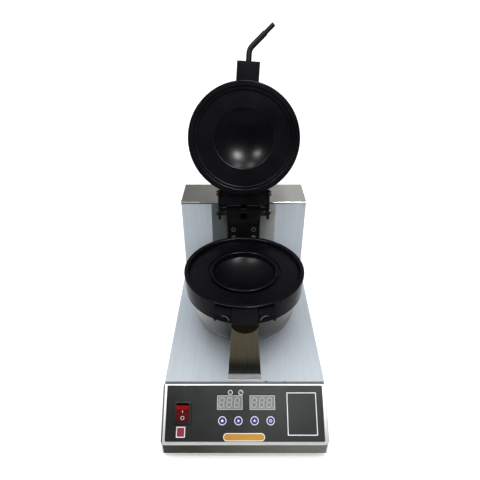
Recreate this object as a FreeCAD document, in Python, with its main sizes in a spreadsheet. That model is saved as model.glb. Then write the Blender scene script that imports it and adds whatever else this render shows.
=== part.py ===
import FreeCAD, Part
import math
import os
import re
import Sketcher
from FreeCAD import Placement, Rotation, Vector

# A counter-top press with two round moulds, standing open. X points to the right, Y to the back and Z up.
# The origin is on the table, under the middle of the machine. Lengths are millimetres, angles degrees.

DIMENSIONS = {
    # Sheet-metal body
    "body_width": 240,
    "foot_height": 10,
    "deck_top": 86,
    "riser_front": 130,
    "riser_back": 212,
    "riser_top": 240,
    "sheet": 1.5,
    "seam": 0.2,
    "bend_r": 1.2,
    "cover_lip": 4,
    "side_flange": 12,
    "vent_length": 30,
    "vent_width": 4,
    "vent_pitch": 10,
    "vent_column": 44,
    "vent_low": 120,
    "vent_columns": 4,
    "vent_rows": 6,
    "tray_vent_y": -60,
    "tray_vents": 5,
    "deck_gap": 1.6,
    "wire_hole_r": 12,
    "flange_gap": 1,
    "flange_root": 0.2,
    "flange_top": 3,
    "cover_hole_r": 2,
    "cover_screw_edge": 9,
    "cover_screw_low": 40,
    "cover_screw_middle": 130,
    "cover_screw_high": 225,
    "cover_screw_r": 1.9,
    "cover_screw_length": 8,
    "cover_head_r": 3.6,
    "cover_head": 2,
    # Sloping control panel
    "panel_head": -165,
    "panel_run": 66,
    "panel_slope": 39.3,
    "panel_plate": 2,
    "panel_overhang": 1.2,
    "panel_corner": 6,
    "overlay": 0.6,
    "overlay_border": 4.5,
    "overlay_corner": 2,
    "rocker_x": -91,
    "rocker_y": 0.4,
    "rocker_width": 18.3,
    "rocker_half": 11.6,
    "rocker_tilt": 10,
    "rocker_valley": 5.2,
    "rocker_pivot": -3.4,
    "rocker_pin_r": 1.5,
    "rocker_pin_reach": 1.4,
    "rocker_draft": 0.4,
    "rocker_skirt": 4,
    "rocker_keel_half": 3.5,
    "rocker_keel": 3,
    "rocker_slack": 0.3,
    "rocker_well": 12,
    "rocker_well_spare": 1.5,
    "bezel_width": 26,
    "bezel_length": 30.5,
    "bezel_height": 2.2,
    "bezel_round": 0.8,
    "switch_width": 22,
    "switch_length": 28,
    "switch_depth": 24,
    "blade_x": 5,
    "blade_y": 7,
    "blade_sheet": 0.8,
    "blade_width": 6.3,
    "blade_length": 8,
    "display_width": 37.6,
    "display_height": 19.6,
    "display_left_x": -22,
    "display_right_x": 26,
    "display_y": 14.3,
    "display_rise": 0.3,
    "cutout_gap": 0.5,
    "lamp_left_x": -21.4,
    "lamp_right_x": -5.9,
    "lamp_y": 28.3,
    "lamp_r": 2.4,
    "lamp_rise": 1,
    "button_first_x": -32.8,
    "button_pitch": 23.5,
    "button_y": -10.4,
    "button_r": 4.6,
    "button_hole_r": 5,
    "button_flange_r": 6,
    "button_rise": 1.8,
    "button_round": 0.5,
    "button_shoulder": -2.35,
    "button_back": -3.2,
    "button_stem_r": 1.5,
    "button_stem_end": -5.2,
    "tact_size": 6,
    "tact_height": 3.4,
    "tact_plunger_r": 1.7,
    "tact_plunger": 0.8,
    "board_width": 140,
    "board_height": 56,
    "board_y": 3,
    "board_depth": 10.4,
    "board_plate": 1.6,
    "board_hole_r": 1.6,
    "standoff_r": 3,
    "standoff_edge_x": 6,
    "standoff_edge_y": 5,
    # Round moulds
    "mould_y": -22,
    "mould_rim": 195,
    "mould_r": 99,
    "mould_draft": 1.5,
    "mould_height": 35,
    "rim_foot": 9,
    "rim_wall": 7.5,
    "rim_round": 1.5,
    "edge_r": 1.8,
    "pole_r": 0.6,
    "bowl_r": 51,
    "bowl_floor": 23.5,
    "bowl_wall_r": 48.5,
    "bowl_wall_depth": 12.5,
    "bowl_wall_round": 4,
    "recess_depth": 7,
    "bead_r": 57,
    "bead_rise": 3,
    "groove_r": 61,
    "groove_depth": 2,
    "groove_slope": 0.5,
    "channel_inner": 66,
    "channel_outer": 76,
    "channel_depth": 8,
    "element_r": 3.9,
    "element_pin_r": 3.7,
    "element_sweep": 330,
    "element_set": 4,
    "element_tail": 20,
    "lid_element_tail": 14,
    "lug_half": 19,
    "lug_reach": 133,
    "lug_top": 3,
    "lug_side": 3,
    "lug_depth": 16,
    "lug_root": 90,
    "cheek_inner": 20,
    "cheek_outer": 45,
    "cheek_reach": 110,
    "cheek_root": 84,
    "cheek_top": -5,
    "cheek_foot": -16,
    "arch_r": 9,
    "probe_r": 2.5,
    "probe_radius": 60,
    "probe_slack": 0.1,
    "probe_bore": 14,
    "probe_gap": 1,
    "probe_tail": 22,
    "lid_probe_tail": 14.5,
    # Heater bowl, base ring and pillars under the lower mould
    "heater_r": 86,
    "heater_corner": 28,
    "heater_sheet": 1.2,
    "heater_bottom": 95,
    "heater_hole_r": 15,
    "base_ring_r": 62,
    "base_ring_bore": 54,
    "pillar_place": 32,
    "pillar_r": 6,
    "pillar_slack": 0.4,
    "pad_r": 56,
    "pad_height": 20,
    # Front leg
    "leg_foot_half": 25,
    "leg_head_half": 17.5,
    "leg_depth": 20,
    "leg_setback": 2,
    "leg_sheet": 2,
    "leg_lip": 6,
    "leg_screw_x": 12,
    "leg_screw_back": 11,
    "leg_hole_r": 2,
    "leg_screw_r": 1.9,
    "leg_screw_length": 8,
    "leg_head_r": 3.5,
    "leg_head": 2.4,
    "leg_overcut": 2,
    # Hinge
    "pin_y": 108,
    "pin_z": 231,
    "pin_r": 5,
    "pin_half": 50.5,
    "pin_head_r": 7.5,
    "pin_head_over": 0.5,
    "pin_head_gap": 0.3,
    "pin_head_round": 1,
    "pin_press": 0.02,
    "ring_gap": 0.4,
    "ring_width": 2.5,
    "ring_plate": 1.6,
    "running": 0.05,
    "knuckle_r": 12,
    "bracket_half": 31.5,
    "bracket_low": 156,
    "bracket_plate": 8,
    "web_low": 196,
    "web_front": 218,
    "web_back": 50,
    "web_top": 2,
    "knuckle_gap": 12,
    "knuckle_spare": 1,
    "bracket_hole_r": 3.05,
    "bracket_screw_r": 2.9,
    "bracket_screw_length": 18,
    "bracket_head_r": 4.8,
    "bracket_head": 4,
    "bracket_screw_x": 19.5,
    "bracket_screw_low": 166,
    "bracket_screw_high": 186,
    "backing_half": 62,
    "backing_low": 90,
    "arm_inner": 43,
    "arm_plate": 4,
    "arm_r": 15,
    "arm_front": -40.4,
    "arm_low": -30,
    "arm_high": -3,
    "arm_heel_high": 6,
    "arm_heel_low": -4,
    "arm_hole_r": 3,
    "arm_tap_r": 2.95,
    "arm_screw_r": 2.9,
    "arm_screw_length": 14,
    "arm_head_r": 4.5,
    "arm_head": 3,
    "arm_screw_a": -34,
    "arm_screw_low": -21,
    "arm_screw_high": -10,
    "stop_gap": 0.3,
    "spacer_r": 8,
    # Lid, measured closed from the hinge pin: back along Y and up along Z
    "lid_open": 115,
    "lid_axis": -130,
    "lid_rim": -35.6,
    "lid_bowl_top": 24,
    "lid_recess": 5,
    "lid_step": 2.4,
    "lid_recess_edge": 15.5,
    "lid_rim_edge": 10,
    "lid_lip_width": 3,
    "lid_lip_depth": 2,
    "lid_lug_front": 85,
    "lid_lug_back": 115.5,
    "lid_lug_low": 8,
    "lid_lug_high": 32,
    "lid_lug_corner": 9,
    "block_half": 20,
    "block_reach": 131,
    "block_clock": 3.5,
    "lid_cover_r": 86,
    "lid_cover_height": 23,
    "lid_cover_corner": 14,
    "lid_pad_inner": 46,
    "lid_pad_outer": 55,
    "lid_pad_height": 15,
    "lid_screw_place": 30,
    "lid_screw_r": 2,
    "lid_screw_bite": 7.5,
    "lid_hole_r": 2.1,
    "lid_hole_depth": 8,
    "lid_head_r": 4.5,
    "lid_head": 2.6,
    # Handle rod
    "rod_r": 5,
    "rod_end_r": 4,
    "rod_height": 11,
    "rod_start": 117.2,
    "rod_straight": 146,
    "rod_bend_r": 19,
    "rod_bend": 42,
    "rod_shoulder": 31,
    "rod_diagonal": 51,
    # Feet, gland and inner electrics
    "foot_x": 95,
    "foot_front_y": -188,
    "foot_back_y": 180,
    "foot_r": 14,
    "foot_inset": 2,
    "foot_taper": 11.3,
    "foot_hole_r": 2.2,
    "foot_sink_r": 4.6,
    "foot_sink": 5.6,
    "foot_screw_r": 2,
    "foot_screw_length": 12,
    "foot_head_r": 4.2,
    "foot_head": 2.6,
    "tray_height": 20.3,
    "gland_x": 78,
    "gland_z": 45,
    "gland_bore": 4.2,
    "gland_thread": 7.8,
    "gland_reach": 19,
    "gland_tail": 10,
    "gland_collar_r": 10.5,
    "gland_collar": 8,
    "gland_cap_r": 9.6,
    "gland_cap_round": 3,
    "gland_nut_r": 12,
    "gland_nut": 5,
    "gland_locknut_plate": 4,
    "relay_x": 52,
    "relay_y": 172,
    "relay_width": 45,
    "relay_length": 58,
    "relay_height": 27,
    "relay_round": 2,
    "terminal_width": 70,
    "terminal_depth": 22,
    "terminal_height": 18,
    "terminal_y": 96,
    "terminal_pitch": 11,
    "terminal_well_r": 3.2,
    "terminal_well": 6,
}

doc = FreeCAD.newDocument("mould_press")
dims = doc.addObject("Spreadsheet::Sheet", "dims")
for row, (alias, number) in enumerate(DIMENSIONS.items(), start=1):
    dims.set(f"A{row}", alias)
    dims.set(f"B{row}", str(number))
    dims.setAlias(f"B{row}", alias)
doc.recompute()
pieces = []

# Places worked out from the driving dimensions
HALF = "(body_width / 2)"
PANEL_LENGTH = "(panel_run / cos(panel_slope))"
PANEL_Y = "(panel_head - panel_run / 2)"
PANEL_Z = "(deck_top - panel_run * tan(panel_slope) / 2)"
BACKING_Y = "(riser_front - sheet)"
BRACKET_Y = f"({BACKING_Y} - bracket_plate)"
BOARD_FACE = "(-board_depth)"
LUG_ARC = "((lug_half ^ 2 + (lug_depth - lug_side) ^ 2) / (2 * (lug_depth - lug_side)))"
LEG_FRONT = "(mould_y - lug_reach + leg_setback)"
WALL_R = "(mould_r - mould_draft)"
TRAY_FLOOR = "(foot_height + sheet)"
BUTTON_NAMES = ("button_mode", "button_next", "button_raise", "button_cancel")


def bound(text):
    """Point every name in a size at its cell of the sheet."""
    return re.sub(r"\b([a-z]\w*)\b(?!\()", r"dims.\1", str(text))


def value(text):
    return float(dims.evalExpression(str(text)))


def bind(thing, **sizes):
    for name, text in sizes.items():
        thing.setExpression(name.replace("__", "."), bound(text))


def piece(name):
    body = doc.addObject("PartDesign::Body", name)
    body.Label = name
    pieces.append(body)
    return body


def place(body, x="0", y="0", z="0", turn=None):
    """Put a piece at a point, turned about X."""
    if turn:
        body.Placement = Placement(Vector(), Rotation(Vector(1, 0, 0), value(turn)))
        bind(body, Placement__Rotation__Angle=turn)
    bind(body, Placement__Base__x=x, Placement__Base__y=y, Placement__Base__z=z)


def place_on_panel(body, x="0", y="0", z="0", turn="0"):
    """Put a piece on the sloping panel: y runs up the slope and z out of it, from the panel's middle."""
    back = f"{PANEL_Y} + ({y}) * cos(panel_slope) - ({z}) * sin(panel_slope)"
    up = f"{PANEL_Z} + ({y}) * sin(panel_slope) + ({z}) * cos(panel_slope)"
    place(body, x, back, up, f"panel_slope + ({turn})")


def place_on_lid(body, back="0", up="0"):
    """Put a piece on the open lid, given its place from the pin while the lid is closed."""
    y = f"pin_y + ({back}) * cos(lid_open) + ({up}) * sin(lid_open)"
    z = f"pin_z - ({back}) * sin(lid_open) + ({up}) * cos(lid_open)"
    place(body, "0", y, z, "-lid_open")


def sketch(body, plane, offset="0"):
    """A sketch on an origin plane, moved along the plane's normal: +Z for XY, -Y for XZ and +X for YZ."""
    support = next(f for f in body.Origin.OriginFeatures if f.Role == plane + "_Plane")
    made = body.newObject("Sketcher::SketchObject", body.Name + "_sketch")
    made.AttachmentSupport = [(support, "")]
    made.MapMode = "FlatFace"
    bind(made, AttachmentOffset__Base__z=offset)
    return made


def dimension(drawn, kind, where, text):
    index = drawn.addConstraint(Sketcher.Constraint(kind, *where, value(text)))
    drawn.setExpression(f"Constraints[{index}]", bound(text))


def add_arc(drawn, here, there, point):
    """The short arc from here to there about the centre held in a point (x, y, centre x, centre y)."""
    centre = Vector(value(point[2]), value(point[3]), 0)
    start = here - centre
    stop = there - centre
    forward = start.cross(stop).z > 0
    first, last = (start, stop) if forward else (stop, start)
    begin = math.atan2(first.y, first.x)
    sweep = (math.atan2(last.y, last.x) - begin) % (2 * math.pi)
    circle = Part.Circle(centre, Vector(0, 0, 1), start.Length)
    made = drawn.addGeometry(Part.ArcOfCircle(circle, begin, begin + sweep), False)
    if abs(here.y - there.y) >= abs(here.x - there.x):
        dimension(drawn, "DistanceX", (made, 3), point[2])
    else:
        dimension(drawn, "DistanceY", (made, 3), point[3])
    return (made, 1, 2) if forward else (made, 2, 1)


def outline(drawn, points, closed=True):
    """Draw lines through the points (x, y). A point (x, y, centre x, centre y) is reached by an arc."""
    spots = [Vector(value(p[0]), value(p[1]), 0) for p in points]
    after = points[1:] + points[:1] if closed else points[1:]
    ends = []
    for here, there, point in zip(spots, spots[1:] + spots[:1], after):
        if len(point) == 2:
            ends.append((drawn.addGeometry(Part.LineSegment(here, there), False), 1, 2))
        else:
            ends.append(add_arc(drawn, here, there, point))
    for this, following in zip(ends, ends[1:] + ends[:1] if closed else ends[1:]):
        drawn.addConstraint(Sketcher.Constraint("Coincident", this[0], this[2], following[0], following[1]))
    held = [(geometry, start) for geometry, start, _ in ends]
    if not closed:
        held.append((ends[-1][0], ends[-1][2]))
    for spot, point in zip(held, points):
        dimension(drawn, "DistanceX", spot, point[0])
        dimension(drawn, "DistanceY", spot, point[1])


def rectangle(drawn, x, y, width, height):
    """A rectangle about the centre (x, y)."""
    left, right = f"({x}) - ({width}) / 2", f"({x}) + ({width}) / 2"
    low, high = f"({y}) - ({height}) / 2", f"({y}) + ({height}) / 2"
    outline(drawn, [(left, low), (right, low), (right, high), (left, high)])


def slot(drawn, x, y, length, width):
    """A slot along x with round ends; length is between the centres of its ends."""
    left, right = f"({x}) - ({length}) / 2", f"({x}) + ({length}) / 2"
    low, high = f"({y}) - ({width}) / 2", f"({y}) + ({width}) / 2"
    outline(drawn, [
        (left, low, left, y), (right, low), (f"{right} + ({width}) / 2", y, right, y),
        (right, high, right, y), (left, high), (f"{left} - ({width}) / 2", y, left, y),
    ])


def circles(drawn, centres, radius):
    for x, y in centres:
        middle = Vector(value(x), value(y), 0)
        made = drawn.addGeometry(Part.Circle(middle, Vector(0, 0, 1), value(radius)), False)
        dimension(drawn, "DistanceX", (made, 3), x)
        dimension(drawn, "DistanceY", (made, 3), y)
        dimension(drawn, "Radius", (made,), radius)


def extrude(body, kind, drawn, length, both=False, reverse=False, taper=None):
    before = body.Shape.Volume if kind == "Pocket" else 0
    made = body.newObject("PartDesign::" + kind, body.Name + "_" + kind.lower())
    made.Profile = drawn
    if both:
        made.SideType = "Symmetric"
    made.Reversed = reverse
    bind(made, Length=length)
    if taper:
        bind(made, TaperAngle=taper)
    doc.recompute()
    if kind == "Pocket" and not made.Shape.Volume < before - 0.01:
        raise RuntimeError(f"{made.Label} cuts nothing from {body.Label}")
    return made


def pad(body, drawn, length, **options):
    return extrude(body, "Pad", drawn, length, **options)


def pocket(body, drawn, length, **options):
    return extrude(body, "Pocket", drawn, length, **options)


def revolve(body, drawn, angle="360"):
    """Turn a sketch about its own vertical axis."""
    made = body.newObject("PartDesign::Revolution", body.Name + "_turned")
    made.Profile = drawn
    made.ReferenceAxis = (drawn, ["V_Axis"])
    bind(made, Angle=angle)
    doc.recompute()
    return made


def fillet(body, base, radius, chosen):
    """Round the edges of a feature whose middle passes the test."""
    edges = [f"Edge{i}" for i, e in enumerate(base.Shape.Edges, start=1) if chosen(e)]
    if not edges:
        raise RuntimeError(f"no edge to round on {body.Label}")
    made = body.newObject("PartDesign::Fillet", body.Name + "_fillet")
    made.Base = (base, edges)
    bind(made, Radius=radius)
    doc.recompute()
    return made


def repeat(body, original, drawn, columns, rows):
    """Repeat a vent slot in columns and rows along its sketch's axes."""
    made = body.newObject("PartDesign::LinearPattern", body.Name + "_pattern")
    made.Originals = [original]
    made.Direction = (drawn, ["H_Axis"])
    made.Direction2 = (drawn, ["V_Axis"])
    made.Mode = "Spacing"
    made.Mode2 = "Spacing"
    bind(made, Offset="vent_column", Occurrences=columns, Offset2="vent_pitch", Occurrences2=rows)
    body.Tip = made
    doc.recompute()


def runs_along(edge, axis):
    box = edge.BoundBox
    spans = {"x": box.XLength, "y": box.YLength, "z": box.ZLength}
    return all(span < 1e-4 for name, span in spans.items() if name != axis)


def near(number, text):
    return abs(number - value(text)) < 0.05


def slope_point(along, depth):
    """A point of the side view, so far down the panel's slope and so deep under its face."""
    y = f"panel_head - ({along}) * cos(panel_slope) + ({depth}) * sin(panel_slope)"
    z = f"deck_top - ({along}) * sin(panel_slope) - ({depth}) * cos(panel_slope)"
    return y, z


STRIP_Y, STRIP_TOP = slope_point(PANEL_LENGTH, "panel_plate + seam")


def pattern_points(xs, ys):
    return [(x, y) for x in xs for y in ys]


BRACKET_HOLES = pattern_points(("-bracket_screw_x", "bracket_screw_x"),
                               ("bracket_screw_low", "bracket_screw_high"))
COVER_HOLES = pattern_points((f"cover_screw_edge - {HALF}", f"{HALF} - cover_screw_edge"),
                             ("cover_screw_low", "cover_screw_middle", "cover_screw_high"))
PILLARS = pattern_points(("-pillar_place", "pillar_place"), ("-pillar_place", "pillar_place"))
FEET = pattern_points(("-foot_x", "foot_x"), ("foot_front_y", "foot_back_y"))
LEG_HOLES = pattern_points(("-leg_screw_x", "leg_screw_x"), (f"{LEG_FRONT} + leg_screw_back",))
LID_HOLES = pattern_points(("-lid_screw_place", "lid_screw_place"), ("-lid_screw_place", "lid_screw_place"))
STANDOFFS = pattern_points(("standoff_edge_x - board_width / 2", "board_width / 2 - standoff_edge_x"),
                           ("board_y - board_height / 2 + standoff_edge_y",
                            "board_y + board_height / 2 - standoff_edge_y"))
ARM_HOLES = [("arm_screw_a", "arm_screw_low"), ("arm_screw_a", "arm_screw_high")]
BUTTONS = [(f"button_first_x + {i} * button_pitch", "button_y") for i in range(len(BUTTON_NAMES))]
LAMPS = [("lamp_left_x", "lamp_y"), ("lamp_right_x", "lamp_y")]
DISPLAYS = [("display_left_x", "display_y"), ("display_right_x", "display_y")]


# Sheet-metal body

def make_base_tray():
    body = piece("base_tray")
    width = "body_width - 2 * sheet - 2 * seam"
    back = "riser_back - sheet - seam"
    depth = f"{back} - ({STRIP_Y})"
    middle = f"({back} + {STRIP_Y}) / 2"
    floor = sketch(body, "XY", "foot_height")
    rectangle(floor, "0", middle, width, depth)
    pad(body, floor, "tray_height")
    inside = sketch(body, "XY", "foot_height + tray_height")
    rectangle(inside, "0", middle, f"{width} - 2 * sheet", f"{depth} - 2 * sheet")
    pocket(body, inside, "tray_height - sheet")
    openings = sketch(body, "XY", TRAY_FLOOR)
    circles(openings, FEET, "foot_hole_r")
    pocket(body, openings, "2 * sheet")
    vent = sketch(body, "XY", TRAY_FLOOR)
    slot(vent, "0", "tray_vent_y", "vent_length", "vent_width")
    repeat(body, pocket(body, vent, "2 * sheet"), vent, "1", "tray_vents")


def make_deck_sheet():
    """The deck and the riser's front, bent from one sheet."""
    body = piece("deck_sheet")
    front = "panel_head + deck_gap"
    top = "riser_top - sheet - seam"
    side = sketch(body, "YZ")
    outline(side, [
        (front, "deck_top"), ("riser_front", "deck_top"), ("riser_front", top),
        ("riser_front + sheet", top), ("riser_front + sheet", "deck_top - sheet"),
        (front, "deck_top - sheet"),
    ])
    bent = pad(body, side, "body_width", both=True)

    def outer(edge):
        middle = edge.CenterOfMass
        if runs_along(edge, "x"):
            return near(middle.y, "riser_front") and near(middle.z, "deck_top")
        on_deck = runs_along(edge, "y") and near(middle.z, "deck_top")
        return on_deck or runs_along(edge, "z") and near(middle.y, "riser_front")

    fillet(body, bent, "bend_r", outer)
    deck = sketch(body, "XY", "deck_top")
    circles(deck, LEG_HOLES, "leg_hole_r")
    circles(deck, [("0", "mould_y")], "wire_hole_r")
    pocket(body, deck, "2 * sheet")
    riser = sketch(body, "XZ", "-riser_front")
    circles(riser, BRACKET_HOLES, "bracket_hole_r")
    pocket(body, riser, "2 * sheet")


def make_side_panel(name, side):
    """One L-shaped side with a flange along its back edge for the rear cover's screws."""
    body = piece(name)
    back = "riser_back - sheet"
    wall = sketch(body, "YZ", f"{side} * ({HALF} - sheet / 2)")
    outline(wall, [
        (STRIP_Y, "foot_height"), (STRIP_Y, STRIP_TOP), slope_point("0", "panel_plate + seam"),
        ("panel_head + deck_gap", "deck_top - sheet"), ("riser_front + sheet", "deck_top - sheet"),
        ("riser_front + sheet", "riser_top - sheet"), (back, "riser_top - sheet"), (back, "foot_height"),
    ])
    pad(body, wall, "sheet", both=True)
    flange = sketch(body, "XY", "foot_height + tray_height + flange_gap")
    rectangle(flange, f"{side} * ({HALF} - sheet - side_flange / 2 + flange_root)", f"{back} - sheet / 2",
              "side_flange + 2 * flange_root", "sheet")
    pad(body, flange, "riser_top - foot_height - tray_height - flange_gap - flange_top")
    holes = sketch(body, "XZ", f"-({back})")
    circles(holes, [(x, z) for x, z in COVER_HOLES if value(x) * side > 0], "cover_hole_r")
    pocket(body, holes, "2 * sheet", reverse=True)


def make_rear_cover():
    """The riser's top and back, with a small lip over the front sheet."""
    body = piece("rear_cover")
    side = sketch(body, "YZ")
    inner_back = "riser_back - sheet"
    inner_top = "riser_top - sheet"
    outline(side, [
        ("riser_front - sheet", "riser_top"), ("riser_back", "riser_top"), ("riser_back", "foot_height"),
        (inner_back, "foot_height"), (inner_back, inner_top), ("riser_front", inner_top),
        ("riser_front", "riser_top - cover_lip"), ("riser_front - sheet", "riser_top - cover_lip"),
    ])
    bent = pad(body, side, "body_width", both=True)

    def bends(edge):
        middle = edge.CenterOfMass
        at_back = near(middle.y, "riser_back") or near(middle.y, "riser_front - sheet")
        return runs_along(edge, "x") and near(middle.z, "riser_top") and at_back

    fillet(body, bent, "bend_r", bends)
    back = sketch(body, "XZ", "-riser_back")
    circles(back, COVER_HOLES, "cover_hole_r")
    circles(back, [("gland_x", "gland_z")], "gland_thread + running")
    pocket(body, back, "2 * sheet", reverse=True)
    vent = sketch(body, "XZ", "-riser_back")
    slot(vent, "(1 - vent_columns) / 2 * vent_column", "vent_low", "vent_length", "vent_width")
    repeat(body, pocket(body, vent, "2 * sheet", reverse=True), vent, "vent_columns", "vent_rows")


def make_studs(name, plane, centres, steps):
    """A group of like round pieces; each step is a radius, a start and a length along the plane's normal."""
    body = piece(name)
    for radius, start, length in steps:
        drawn = sketch(body, plane, start)
        circles(drawn, centres, radius)
        pad(body, drawn, length)
    return body


def make_feet():
    body = piece("rubber_feet")
    for x, y in FEET:
        foot = sketch(body, "XY")
        circles(foot, [(x, y)], "foot_r - foot_inset")
        pad(body, foot, "foot_height", taper="foot_taper")
    holes = sketch(body, "XY", "foot_height")
    circles(holes, FEET, "foot_hole_r")
    pocket(body, holes, "foot_height")
    sunk = sketch(body, "XY", "foot_sink")
    circles(sunk, FEET, "foot_sink_r")
    pocket(body, sunk, "foot_height")
    make_studs("foot_screws", "XY", FEET, [("foot_head_r", "foot_sink - foot_head", "foot_head"),
                                           ("foot_screw_r", "foot_sink", "foot_screw_length")])


# Control panel

def panel_cutouts(drawn):
    rectangle(drawn, "rocker_x", "rocker_y", "switch_width + cutout_gap", "switch_length + cutout_gap")
    for x, y in DISPLAYS:
        rectangle(drawn, x, y, "display_width + 2 * cutout_gap", "display_height + 2 * cutout_gap")
    circles(drawn, LAMPS, "lamp_r + seam")
    circles(drawn, BUTTONS, "button_hole_r")


def make_panel_sheet(name, low, thick, width, height, corner):
    body = piece(name)
    place_on_panel(body)
    face = sketch(body, "XY", low)
    rectangle(face, "0", "0", width, height)
    flat = pad(body, face, thick)
    fillet(body, flat, corner, lambda edge: runs_along(edge, "z"))
    cut = sketch(body, "XY", f"{low} + {thick}")
    panel_cutouts(cut)
    pocket(body, cut, f"2 * {thick}")


def make_rocker_switch():
    """The switch's housing with its bezel, and the rocker that tilts in it."""
    body = piece("rocker_housing")
    place_on_panel(body, "rocker_x", "rocker_y")
    case = sketch(body, "XY", "-switch_depth")
    rectangle(case, "0", "0", "switch_width", "switch_length")
    pad(body, case, "switch_depth + overlay")
    bezel = sketch(body, "XY", "overlay")
    rectangle(bezel, "0", "0", "bezel_width", "bezel_length")
    rim = pad(body, bezel, "bezel_height")
    top = "overlay + bezel_height"
    fillet(body, rim, "bezel_round", lambda edge: near(edge.CenterOfMass.z, top))
    well = sketch(body, "XY", top)
    rectangle(well, "0", "0", "rocker_width + 2 * rocker_slack", "2 * rocker_half + 2 * rocker_well_spare")
    pocket(body, well, f"{top} + rocker_well")
    bore = sketch(body, "YZ")
    circles(bore, [("0", "rocker_pivot")], "rocker_pin_r + running")
    pocket(body, bore, "2 * switch_width", both=True)
    blades = sketch(body, "XY", "-switch_depth")
    for x, y in pattern_points(("-blade_x", "blade_x"), ("-blade_y", "blade_y")):
        rectangle(blades, x, y, "blade_sheet", "blade_width")
    pad(body, blades, "blade_length", reverse=True)

    rocker = piece("rocker_button")
    place_on_panel(rocker, "rocker_x", "rocker_y", "rocker_pivot", "rocker_tilt")
    side = sketch(rocker, "YZ")
    crest = "rocker_valley + rocker_half * tan(rocker_tilt)"
    outline(side, [
        ("-rocker_half", crest), ("0", "rocker_valley"), ("rocker_half", crest),
        ("rocker_half - rocker_draft", "rocker_skirt"), ("rocker_keel_half", "-rocker_keel"),
        ("-rocker_keel_half", "-rocker_keel"), ("rocker_draft - rocker_half", "rocker_skirt"),
    ])
    pad(rocker, side, "rocker_width", both=True)
    pins = sketch(rocker, "YZ")
    circles(pins, [("0", "0")], "rocker_pin_r")
    pad(rocker, pins, "rocker_width + 2 * rocker_pin_reach", both=True)


def make_display(name, x):
    body = piece(name)
    place_on_panel(body, x, "display_y")
    face = sketch(body, "XY", BOARD_FACE)
    rectangle(face, "0", "0", "display_width", "display_height")
    pad(body, face, "board_depth + display_rise")


def make_lamps():
    body = piece("indicator_lamps")
    place_on_panel(body)
    foot = sketch(body, "XY", BOARD_FACE)
    circles(foot, LAMPS, "lamp_r")
    stems = pad(body, foot, "board_depth + overlay + lamp_rise")
    fillet(body, stems, "lamp_r / 2", lambda edge: near(edge.CenterOfMass.z, "overlay + lamp_rise"))


def make_button(name, x, y):
    """A push button whose flange is trapped behind the plate."""
    body = piece(name)
    place_on_panel(body, x, y)
    flat, low = "button_r - button_round", "button_rise - button_round"
    half = sketch(body, "XZ")
    outline(half, [
        ("0", "button_stem_end"), ("button_stem_r", "button_stem_end"), ("button_stem_r", "button_back"),
        ("button_flange_r", "button_back"), ("button_flange_r", "button_shoulder"),
        ("button_r", "button_shoulder"), ("button_r", low), (flat, "button_rise", flat, low),
        ("0", "button_rise"),
    ])
    revolve(body, half)


def make_board():
    body = piece("control_board")
    place_on_panel(body)
    card = sketch(body, "XY", BOARD_FACE)
    rectangle(card, "0", "board_y", "board_width", "board_height")
    pad(body, card, "board_plate", reverse=True)
    holes = sketch(body, "XY", BOARD_FACE)
    circles(holes, STANDOFFS, "board_hole_r")
    pocket(body, holes, "2 * board_plate")

    switches = piece("tact_switches")
    place_on_panel(switches)
    cases = sketch(switches, "XY", BOARD_FACE)
    for x, y in BUTTONS:
        rectangle(cases, x, y, "tact_size", "tact_size")
    pad(switches, cases, "tact_height")
    plungers = sketch(switches, "XY", f"{BOARD_FACE} + tact_height")
    circles(plungers, BUTTONS, "tact_plunger_r")
    pad(switches, plungers, "tact_plunger")

    posts = make_studs("board_standoffs", "XY", STANDOFFS,
                       [("standoff_r", BOARD_FACE, "board_depth - panel_plate")])
    place_on_panel(posts)


# Lower mould and what carries it

def lug_section(drawn, half, flat, up):
    """A D-shaped section: flat on the side of the other mould and half round on the far side."""
    depth = "(lug_depth - lug_side)"
    radius = f"((({half}) ^ 2 + {depth} ^ 2) / (2 * {depth}))"
    side = f"{up} * ({flat} + lug_side)"
    crown = f"{up} * ({flat} + lug_depth)"
    centre = f"{up} * ({flat} + lug_depth - {radius})"
    outline(drawn, [
        (f"-({half})", f"{up} * ({flat})"), (half, f"{up} * ({flat})"), (half, side),
        ("0", crown, "0", centre), (f"-({half})", side, "0", centre),
    ])


def cheek_section(drawn, side):
    """A cheek beside the lug, with an arch under it."""
    middle = f"{side} * (cheek_inner + cheek_outer) / 2"
    foot = "cheek_foot"
    arch = f"{side} * arch_r"
    outline(drawn, [
        (f"{side} * cheek_inner", "cheek_top"), (f"{side} * cheek_outer", "cheek_top"),
        (f"{side} * cheek_outer", foot),
        (f"{middle} + {arch}", foot), (middle, f"{foot} + arch_r", middle, foot),
        (f"{middle} - ({arch})", foot, middle, foot), (f"{side} * cheek_inner", foot),
    ])


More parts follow.
